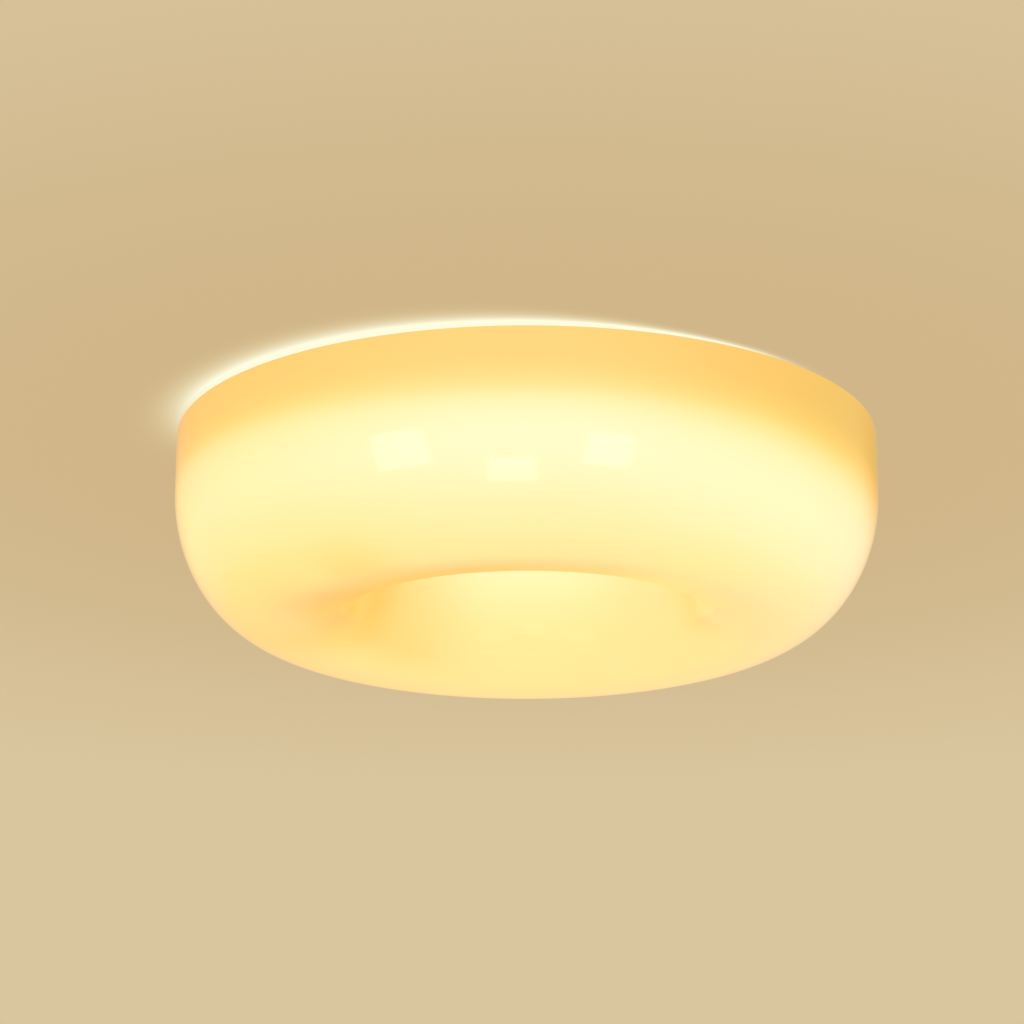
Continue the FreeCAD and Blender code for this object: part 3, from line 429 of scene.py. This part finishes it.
finishes = {
    # epoxy powder, baked on the pan: orange peel under a satin sheen, with faint patches of dust
    "bakedWhitePowderCoat": {
        "nodes": ["base_pan"],
        "tones": ("f1efe8", "f4f2ec"), "patch": 25, "rough": (0.36, 0.44), "grain": 1.4, "relief": 0.04,
    },
    # bright zinc, passivated: cool metal with straw and blue clouds and fine drawing lines
    "electroplatedZincSteel": {
        "nodes": ["ceiling_bracket", "stem_nuts", "pan_washer", "stem_sleeve", "seat_washer",
                  "board_screws", "driver_screws", "terminal_screws", "clamp_screws", "earth_stud",
                  "earth_washer", "knob_washer"],
        "tones": ("c0c5c8", "cfcdc1"), "patch": 9, "rough": (0.22, 0.34), "grain": 0.5, "relief": 0.02,
        "stretch": (0.12, 1, 1), "metal": 1.0,
    },
    # ivory nylon, moulded: milky and slightly sheened, with flow clouds
    "mouldedIvoryNylon": {
        "nodes": ["board_links", "led_plug", "driver_terminals"],
        "tones": ("e6dfc9", "f3eddc"), "patch": 5, "rough": (0.36, 0.5), "grain": 0.35, "relief": 0.02,
        "subsurface": 0.15,
    },
    # natural nylon: greyer and more translucent than the connectors
    "mouldedNaturalNylon": {
        "nodes": ["clamp_base", "clamp_bridge", "lead_clip"],
        "tones": ("d4cfbf", "e4e0d3"), "patch": 7, "rough": (0.34, 0.48), "grain": 0.6, "relief": 0.04,
        "subsurface": 0.3,
    },
    # carbon-filled rubber: dull, with grey bloom
    "mouldedBlackRubber": {
        "nodes": ["pan_grommet", "shade_bush"],
        "tones": ("161616", "2a2a29"), "patch": 6, "rough": (0.62, 0.82), "grain": 0.4, "relief": 0.04,
        "sheen": 0.3,
    },
    # spark-eroded mould faces: even matt sparkle
    "mouldedWhitePolycarbonate": {
        "nodes": ["driver_base", "driver_cover"],
        "tones": ("e0e1e1", "e5e6e6"), "patch": 30, "rough": (0.44, 0.6), "grain": 0.45, "relief": 0.05,
    },
    # polyester tape wound on the core: honey yellow, with the edges of its turns
    "woundPolyesterTape": {
        "nodes": ["driver_transformer"],
        "tones": ("d29a2c", "e7b94a"), "patch": 8, "rough": (0.22, 0.34), "grain": 0.8, "relief": 0.02,
        "bands": {"axis": "Z", "pitch": 3.4, "tones": ("b98421", "e7b94a"), "relief": 0.08},
    },
    # shrunk sleeve on aluminium cans: dark, glossy, faintly wrinkled
    "shrunkVinylSleeve": {
        "nodes": ["driver_capacitors"],
        "tones": ("20242f", "2b3040"), "patch": 5, "rough": (0.2, 0.36), "grain": 1.1, "relief": 0.04,
    },
    # grey polyamide, glass filled: fibres show as fine streaks
    "mouldedGreyPolyamide": {
        "nodes": ["terminal_body"],
        "tones": ("8f9396", "a4a8aa"), "patch": 6, "rough": (0.42, 0.58), "grain": 0.5, "relief": 0.04,
        "stretch": (0.3, 1, 1),
    },
    # rolled brass: warm metal with rolling lines, darker in patches where it has been handled
    "rolledBrass": {
        "nodes": ["terminal_contacts", "earth_tag", "earth_nut", "knob_insert"],
        "tones": ("a88842", "d2b469"), "patch": 4, "rough": (0.2, 0.36), "grain": 0.3, "relief": 0.015,
        "stretch": (0.15, 1, 1), "metal": 1.0,
    },
    # acetal: dense, waxy white with a soft gloss
    "mouldedWhiteAcetal": {
        "nodes": ["knob"],
        "tones": ("ece9e1", "f5f3ee"), "patch": 10, "rough": (0.26, 0.38), "grain": 0.7, "relief": 0.03,
        "subsurface": 0.1,
    },
    # glass-filled polyester of the levers: strong orange, satin
    "mouldedOrangePolyester": {
        "nodes": ["terminal_lever_l", "terminal_lever_n", "terminal_lever_e"],
        "tones": ("dd6a12", "ee7f22"), "patch": 5, "rough": (0.32, 0.46), "grain": 0.4, "relief": 0.03,
    },
    # glass-epoxy laminate under green mask: darker tracks between paler lands
    "etchedGreenLaminate": {
        "nodes": ["driver_board"],
        "tones": ("1f5a33", "2f7a45"), "patch": 3, "rough": (0.28, 0.44), "grain": 0.6, "relief": 0.03,
        "bands": {"axis": "Y", "pitch": 2.2, "tones": ("1a4f2c", "3a8a50"), "relief": 0.04},
    },
    # soft vinyl insulation: smooth and slightly waxy, with a faint grain
    "extrudedBrownVinyl": {"nodes": ["lead_live"], "tones": ("4e2f1c", "5f3a24")},
    "extrudedBlueVinyl": {"nodes": ["lead_neutral"], "tones": ("1d4fa0", "2a62ba")},
    "extrudedRedVinyl": {"nodes": ["lead_plus"], "tones": ("a81c16", "c02a20")},
    "extrudedBlackVinyl": {"nodes": ["lead_minus"], "tones": ("141414", "242424")},
    # the earth lead is drawn in two colours, which spiral a little
    "extrudedGreenYellowVinyl": {
        "nodes": ["lead_earth"], "tones": ("1f7a34", "2b8c40"),
        "bands": {"axis": "DIAGONAL", "pitch": 9, "tones": ("e6cf22", "2b8c40"), "relief": 0.0},
    },
}

# what a finish has where it doesn't say
plainFinish = {
    "patch": 4, "rough": (0.34, 0.46), "grain": 0.6, "relief": 0.015, "stretch": (1, 1, 1), "metal": 0.0,
}

finishing = {
    "noiseSpan": (0.3, 0.7),     # the values between which the noise mostly lies
    "bandEdge": (0.42, 0.58),    # of the bands' wave, where one tone turns into the other
    "bandShare": 0.85,
    "bandWander": 0.4,
    "wear": (0.6, 0.4),          # shares of the patches and the grain in the roughness
    "scatter": mm(1.5),          # how far light spreads in a milky plastic
}


def finish(name, look):
    look = {**plainFinish, **look}
    material, tree = newMaterial(name)
    place = addNode(tree, "ShaderNodeTexCoord", output="Object")
    patches = addNode(tree, "ShaderNodeTexNoise", {
        "Vector": place, "Scale": 1 / mm(look["patch"]), "Detail": 3.0,
    })
    drawn = addNode(tree, "ShaderNodeVectorMath", {0: place, 1: look["stretch"]}, operation="MULTIPLY")
    grain = addNode(tree, "ShaderNodeTexNoise", {
        "Vector": drawn, "Scale": 1 / mm(look["grain"]), "Detail": 2.0,
    })
    measures = {"patches": patches}
    low, high = finishing["noiseSpan"]
    first, second = (linear(tone) for tone in look["tones"])
    colour = layTone(tree, measures, first, second, [("patches", low, high)])
    height = addNode(tree, "ShaderNodeMath", {0: grain, 1: look["relief"]}, operation="MULTIPLY")
    bands = look.get("bands")
    if bands:
        # sine bands: (1 + sin(2 pi p / pitch)) / 2, sharpened. The node counts 20 radians for each
        # unit of length and scale along an axis, and 17 along the diagonal.
        measures["bands"] = addNode(tree, "ShaderNodeTexWave", {
            "Vector": place, "Scale": 2 * math.pi / 20 / mm(bands["pitch"]),
            "Distortion": finishing["bandWander"], "Detail": 1.0,
        }, output="Fac", bands_direction=bands["axis"])
        limits = [("bands", *finishing["bandEdge"])]
        over, under = (linear(tone) for tone in bands["tones"])
        colour = layTone(tree, measures, under, over, limits, finishing["bandShare"])
        raised = softMask(tree, measures, limits, bands["relief"])
        height = addNode(tree, "ShaderNodeMath", {0: height, 1: raised}, operation="ADD")
    worn = addNode(tree, "ShaderNodeMath", {0: grain, 1: finishing["wear"][1]}, operation="MULTIPLY")
    worn = addNode(tree, "ShaderNodeMath", {0: patches, 1: finishing["wear"][0], 2: worn},
                   operation="MULTIPLY_ADD")
    rough = addNode(tree, "ShaderNodeMapRange", {
        "Value": worn, "From Min": low, "From Max": high,
        "To Min": look["rough"][0], "To Max": look["rough"][1],
    })
    bump = addNode(tree, "ShaderNodeBump", {"Height": height, "Distance": mm(1.0)})
    links = {"Base Color": colour, "Roughness": rough, "Normal": bump, "Metallic": look["metal"]}
    if "subsurface" in look:
        links.update({"Subsurface Weight": look["subsurface"], "Subsurface Scale": finishing["scatter"]})
    if "sheen" in look:
        links["Sheen Weight"] = look["sheen"]
    shader = addNode(tree, "ShaderNodeBsdfPrincipled", links)
    addNode(tree, "ShaderNodeOutputMaterial", {"Surface": shader})
    return material


def dress(names, material):
    for name in names:
        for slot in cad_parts[name].material_slots:
            slot.material = material


made = {name: finish(name, look) for name, look in finishes.items()}
for name, look in finishes.items():
    dress(look["nodes"], made[name])
print("finishes made:", len(made))


# Light boards: white mask over aluminium, with copper tracks under it along the two rows of chips

boards = {
    "names": ["led_board_1", "led_board_2", "led_board_3", "led_board_4"],
    "rows": ((mm(202), 44), (mm(160), 36)),  # radius and count of each ring of packages
    "track": mm(3.4),                        # from a ring to the track at each side of it
    "trackEdge": (mm(1.4), mm(1.2)),
    "mask": ("ecebe6", "f5f5f2"),
    "copper": ("ded9c8", 0.5),               # tone that shows through the mask, and its share
    "relief": (0.07, 0.01),                  # mm, of the tracks and of the mask's grain
    "rough": (0.28, 0.44),
    "grain": mm(1.2),
    "patch": mm(30),
}


def maskedBoard():
    # Solder mask on an aluminium core: bright white, with copper tracks that raise it and show through
    material, tree = newMaterial("maskedAluminiumBoard")
    place = addNode(tree, "ShaderNodeTexCoord", output="Object")
    radius = flatRadius(tree, place)
    tracks = 0.0
    for ringRadius, count in boards["rows"]:
        for side in (-1, 1):
            off = addNode(tree, "ShaderNodeMath", {0: radius, 1: ringRadius + side * boards["track"]},
                          operation="SUBTRACT")
            off = addNode(tree, "ShaderNodeMath", {0: off}, operation="ABSOLUTE")
            track = softMask(tree, {"off": off}, [("off", *boards["trackEdge"])])
            tracks = addNode(tree, "ShaderNodeMath", {0: tracks, 1: track}, operation="MAXIMUM")
    grain = addNode(tree, "ShaderNodeTexNoise", {
        "Vector": place, "Scale": 1 / boards["grain"], "Detail": 3.0,
    })
    patches = addNode(tree, "ShaderNodeTexNoise", {
        "Vector": place, "Scale": 1 / boards["patch"], "Detail": 1.0,
    })
    first, second = (linear(tone) for tone in boards["mask"])
    mask = addNode(tree, "ShaderNodeMix", {"Factor": patches, "A": first, "B": second},
                   output=2, data_type="RGBA")
    tone, share = boards["copper"]
    share = addNode(tree, "ShaderNodeMath", {0: tracks, 1: share}, operation="MULTIPLY")
    colour = addNode(tree, "ShaderNodeMix", {"Factor": share, "A": mask, "B": linear(tone)},
                     output=2, data_type="RGBA")
    height = addNode(tree, "ShaderNodeMath", {0: grain, 1: boards["relief"][1]}, operation="MULTIPLY")
    height = addNode(tree, "ShaderNodeMath", {0: tracks, 1: boards["relief"][0], 2: height},
                     operation="MULTIPLY_ADD")
    bump = addNode(tree, "ShaderNodeBump", {"Height": height, "Distance": mm(1)})
    rough = addNode(tree, "ShaderNodeMapRange", {
        "Value": grain, "To Min": boards["rough"][0], "To Max": boards["rough"][1],
    })
    shader = addNode(tree, "ShaderNodeBsdfPrincipled", {
        "Base Color": colour, "Roughness": rough, "Normal": bump,
    })
    addNode(tree, "ShaderNodeOutputMaterial", {"Surface": shader})
    return material


dress(boards["names"], maskedBoard())

package = {
    "width": mm(2.8),          # across the ring
    "length": mm(3.5),
    "height": mm(0.8),
    "cavity": 0.74,            # share of the size that the phosphor fills
    "squareness": 5.0,         # power n of the superellipse
    "columns": 24,
    "body": {"tones": ("f0efe9", "fbfaf6"), "patch": 2, "rough": (0.3, 0.5), "grain": 0.2, "relief": 0.01},
    "phosphor": ("f2c63c", "ffdf6a"),
    "light": ("ffd890", "ffe0a0"),
    "glow": 2.5,
    # size and height of the phosphor's grains, which are ten times finer on a real package: so
    # coarse that they show close by
    "grit": (mm(0.15), mm(0.02)),
    "rough": (0.25, 0.5),
}


def packagePlaces():
    # frames of all packages: outward, along the ring and middle
    turns, radii = [], []
    for ringRadius, count in boards["rows"]:
        turns.append((np.arange(count) + 0.5) * 2 * math.pi / count)
        radii.append(np.full(count, ringRadius))
    turns, radii = np.concatenate(turns), np.concatenate(radii)
    out = np.stack([np.cos(turns), np.sin(turns)], -1)
    return out, np.stack([-out[:, 1], out[:, 0]], -1), out * radii[:, None]


def packageGrid(section):
    # section rows are (share of the half size, drop under the board) of rounded squares, which are
    # superellipses: |x|^n + |y|^n = 1. Rows run down from the board, so that the faces look outwards.
    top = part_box("led_board_1")[0].z
    angle = np.linspace(0, 2 * math.pi, package["columns"], endpoint=False)
    power = 2 / package["squareness"]
    x = np.sign(np.cos(angle)) * abs(np.cos(angle)) ** power * package["width"] / 2
    y = np.sign(np.sin(angle)) * abs(np.sin(angle)) ** power * package["length"] / 2
    section = np.array(section)
    share, drop = section[:, :1], section[:, 1:]
    out, along, middle = packagePlaces()
    flat = (middle[:, None, None] + out[:, None, None] * (share * x)[None, :, :, None]
            + along[:, None, None] * (share * y)[None, :, :, None])
    height = np.broadcast_to((top - drop)[None, :, :, None], flat.shape[:3] + (1,))
    return np.concatenate([flat, height], -1)


def makePackages():
    # a body with a bevelled foot and a cavity, and the shallow lens that fills the cavity
    tall, cavity = package["height"], package["cavity"]
    body = packageGrid([
        (0.96, 0), (1, mm(0.1)), (1, tall - mm(0.15)), (0.95, tall),
        (cavity + 0.04, tall), (cavity, tall - mm(0.12)), (cavity - 0.06, tall - mm(0.3)),
    ])
    lens = packageGrid([
        (cavity - 0.05, tall - mm(0.25)), (cavity, tall - mm(0.14)),
        (cavity * 0.8, tall - mm(0.09)), (cavity * 0.45, tall - mm(0.06)),
    ])
    return (gridMesh("packageBodies", body, poles=(True, True)),
            gridMesh("packagePhosphor", lens, poles=(True, True)))


def packageBody():
    # Moulded reflector packages: bright matt white
    return finish("mouldedReflectorPackage", package["body"])


def litPhosphor():
    # Silicone with phosphor, lit: yellow, soft, grainy, warm white light
    material, tree = newMaterial("castYellowPhosphor")
    place = addNode(tree, "ShaderNodeTexCoord", output="Object")
    size, height = package["grit"]
    grains = addNode(tree, "ShaderNodeTexNoise", {"Vector": place, "Scale": 1 / size, "Detail": 2.0})
    tones = {}
    for part in ("phosphor", "light"):
        first, second = (linear(tone) for tone in package[part])
        tones[part] = addNode(tree, "ShaderNodeMix", {"Factor": grains, "A": first, "B": second},
                              output=2, data_type="RGBA")
    bump = addNode(tree, "ShaderNodeBump", {"Height": grains, "Distance": height})
    rough = addNode(tree, "ShaderNodeMapRange", {
        "Value": grains, "To Min": package["rough"][0], "To Max": package["rough"][1],
    })
    shader = addNode(tree, "ShaderNodeBsdfPrincipled", {
        "Base Color": tones["phosphor"], "Roughness": rough, "Normal": bump,
        "Emission Color": tones["light"], "Emission Strength": package["glow"],
    })
    addNode(tree, "ShaderNodeOutputMaterial", {"Surface": shader})
    return material


packageBodies, phosphor = makePackages()
packageBodies.data.materials.append(packageBody())
phosphor.data.materials.append(litPhosphor())
for piece in (packageBodies, phosphor):
    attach(piece, "housing")
    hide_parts("led_chips")
print("light boards made:", len(packageBodies.data.polygons), "faces in the packages")


# Stem: a steel pipe with a cut thread from end to end

stem = {
    "bore": mm(3.5),
    "pitch": mm(1.0),
    "threadDepth": mm(0.54),
    "groove": (1.6, 4),        # the trapezium wave: its peak before it is cut off at 1, and its slope
    "rowsPerTurn": 8,
    "columns": 40,
    "leadIn": mm(0.8),         # bevel at both ends
}


def makeStem():
    # r(z, turn) = R - depth * groove(z / pitch - turn / 2 pi), groove being a trapezium wave
    low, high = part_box("stem")
    count = int((high.z - low.z) / stem["pitch"] * stem["rowsPerTurn"])
    z = np.linspace(high.z, low.z, count)[:, None]
    turn = np.linspace(0, 2 * math.pi, stem["columns"], endpoint=False)[None]
    phase = (z / stem["pitch"] - turn / (2 * math.pi)) % 1
    peak, flank = stem["groove"]
    groove = np.clip(peak - abs(phase - 0.5) * flank, 0, 1)
    fromEnd = np.minimum(high.z - z, z - low.z)
    bevel = np.clip(1 - fromEnd / stem["leadIn"], 0, 1) * stem["threadDepth"]
    r = high.x - np.maximum(groove * stem["threadDepth"], bevel)
    outside = np.stack([r * np.cos(turn), r * np.sin(turn), z + 0 * turn], -1)
    inside = [(stem["bore"], low.z), (stem["bore"], high.z)]
    bore = revolve(np.array(inside), stem["columns"])[0]
    return gridMesh("threadedStem", np.concatenate([outside, bore])[None], closedRows=True)


threadedStem = makeStem()
threadedStem.data.materials.append(made["electroplatedZincSteel"])
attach(threadedStem, "housing")
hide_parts("stem")
print("stem made")


# Stage: a pale ceiling, seen from below only, with the light that leaves the rim's gap

ceiling = {
    "reach": 14.0,
    "hole": mm(222),                # the pan's flange covers its edge
    "lift": mm(0.4),
    "colour": "d9c59e",
    "glow": "d0b689",               # warm light round the lamp
    "glowReach": 1.1,
    "halo": ("fffde0", "f2dca6"),   # beside the rim, and where it fades
    "haloSide": (-0.8, -0.6, 0),    # the side where the gap lets most light out
    "haloSpan": mm(250),            # over which the next two change towards that side
    "haloStart": (mm(241), mm(250)),
    "haloWidth": (mm(11), mm(46)),
    "haloLimits": [("y", mm(80), mm(-130)), ("towards", mm(-110), mm(20))],
    "haloFall": 2.6,                # it fades as (1 - share of its width) to this power
    "rings": 24,
    "columns": 96,
}


def ceilingPaint():
    # Matt emulsion, with the warm pool of light round the lamp and the bright line beside its rim
    material, tree = newMaterial("rolledMattEmulsion")
    place = addNode(tree, "ShaderNodeTexCoord", output="Object")
    towards = addNode(tree, "ShaderNodeVectorMath", {0: place, 1: ceiling["haloSide"]},
                      output="Value", operation="DOT_PRODUCT")
    measures = {"radius": flatRadius(tree, place), "towards": towards,
                "y": addNode(tree, "ShaderNodeSeparateXYZ", {"Vector": place}, output="Y")}
    pool = [("radius", ceiling["glowReach"], shadeHigh.x)]
    paint = layTone(tree, measures, linear(ceiling["colour"]), linear(ceiling["glow"]), pool)
    # the bright line by the rim is widest on the side where most light leaves the gap
    start, width = (addNode(tree, "ShaderNodeMapRange", {
        "Value": towards, "From Min": 0, "From Max": ceiling["haloSpan"], "To Min": low, "To Max": high,
    }, interpolation_type="SMOOTHSTEP") for low, high in (ceiling["haloStart"], ceiling["haloWidth"]))
    share = addNode(tree, "ShaderNodeMath", {0: measures["radius"], 1: start}, operation="SUBTRACT")
    share = addNode(tree, "ShaderNodeMath", {0: share, 1: width}, operation="DIVIDE")
    left = addNode(tree, "ShaderNodeMath", {0: 1.0, 1: share}, operation="SUBTRACT", use_clamp=True)
    fall = addNode(tree, "ShaderNodeMath", {0: left, 1: ceiling["haloFall"]}, operation="POWER")
    fall = softMask(tree, measures, ceiling["haloLimits"], fall)
    rim, fading = (linear(tone) for tone in ceiling["halo"])
    halo = addNode(tree, "ShaderNodeMix", {"Factor": fall, "A": fading, "B": rim},
                   output=2, data_type="RGBA")
    bright = addNode(tree, "ShaderNodeMix", {"Factor": fall, "A": paint, "B": halo},
                     output=2, data_type="RGBA")
    eyeRays, seen = seenRays(tree)
    direct = addNode(tree, "ShaderNodeMix", {"Factor": eyeRays, "A": paint, "B": bright},
                     output=2, data_type="RGBA")
    shown = addNode(tree, "ShaderNodeEmission", {"Color": direct, "Strength": 1.0})
    matt = addNode(tree, "ShaderNodeBsdfDiffuse", {"Color": paint})
    under = addNode(tree, "ShaderNodeMixShader", {"Fac": seen, 1: matt, 2: shown})
    # from above the ceiling is clear, so that the lamp's back shows
    clear = addNode(tree, "ShaderNodeBsdfTransparent")
    above = addNode(tree, "ShaderNodeNewGeometry", output="Backfacing")
    surface = addNode(tree, "ShaderNodeMixShader", {"Fac": above, 1: under, 2: clear})
    addNode(tree, "ShaderNodeOutputMaterial", {"Surface": surface})
    return material


def makeCeiling():
    # rings of a flat disc with a hole, their radii in a geometric series, facing down
    growth = np.geomspace(ceiling["hole"], ceiling["reach"], ceiling["rings"])[::-1]
    section = np.stack([growth, np.full(len(growth), ceiling["lift"])], -1)
    plane = gridMesh("ceiling", revolve(section, ceiling["columns"]))
    plane.data.materials.append(ceilingPaint())


makeCeiling()


# Light: three windows behind the camera, which show in the gloss, and a plain pale room

windows = {
    # where each one's reflection lies on the belly: degrees from the near side, depth, and size
    "spots": [(-20.0, mm(84.5), 1.00, 1.32),
              (-2.3, mm(99.5), 0.82, 0.92),
              (13.0, mm(87.5), 0.84, 1.2)],
    "distance": 3.2,           # from the belly
    "power": 8.8,              # watts for each square metre of window
    "colour": "fffaf2",
    "room": "f0ede6",
}


def reflectedPlace(degrees, depth):
    # the point on the outline at that depth, and where a mirror there sends the camera's ray
    belly = shadeOutline[:np.argmin(shadeOutline[:, 1])]
    row = int(np.argmin(abs(belly[:, 1] + depth)))
    along = belly[row + 1] - belly[row - 1]
    slope = Vector((-along[1], along[0])).normalized()
    turn = math.radians(degrees)
    out = Vector((math.sin(turn), -math.cos(turn), 0))
    point = out * belly[row][0] + Vector((0, 0, belly[row][1]))
    normal = (out * slope.x + Vector((0, 0, slope.y))).normalized()
    ray = (point - eyePoint).normalized()
    return point, ray - 2 * ray.dot(normal) * normal


def makeLight():
    for number, (degrees, depth, width, height) in enumerate(windows["spots"], 1):
        point, way = reflectedPlace(degrees, depth)
        data = bpy.data.lights.new(f"window{number}", "AREA")
        data.shape = "RECTANGLE"
        data.size, data.size_y = width, height
        data.energy = windows["power"] * width * height
        data.color = linear(windows["colour"])[:3]
        lamp = bpy.data.objects.new(f"window{number}", data)
        lamp.location = point + way * windows["distance"]
        lamp.rotation_euler = (-way).to_track_quat("-Z", "Y").to_euler()
        scene.collection.objects.link(lamp)
    world = bpy.data.worlds.new("room")
    world.use_nodes = True
    tree = world.node_tree
    tree.nodes.clear()
    room = addNode(tree, "ShaderNodeBackground", {"Color": linear(windows["room"]), "Strength": 1.0})
    pale = addNode(tree, "ShaderNodeBackground", {"Color": linear(ceiling["colour"]), "Strength": 1.0})
    both = addNode(tree, "ShaderNodeMixShader", {"Fac": seenRays(tree)[1], 1: room, 2: pale})
    addNode(tree, "ShaderNodeOutputWorld", {"Surface": both})
    scene.world = world


makeLight()
print("stage and light made")
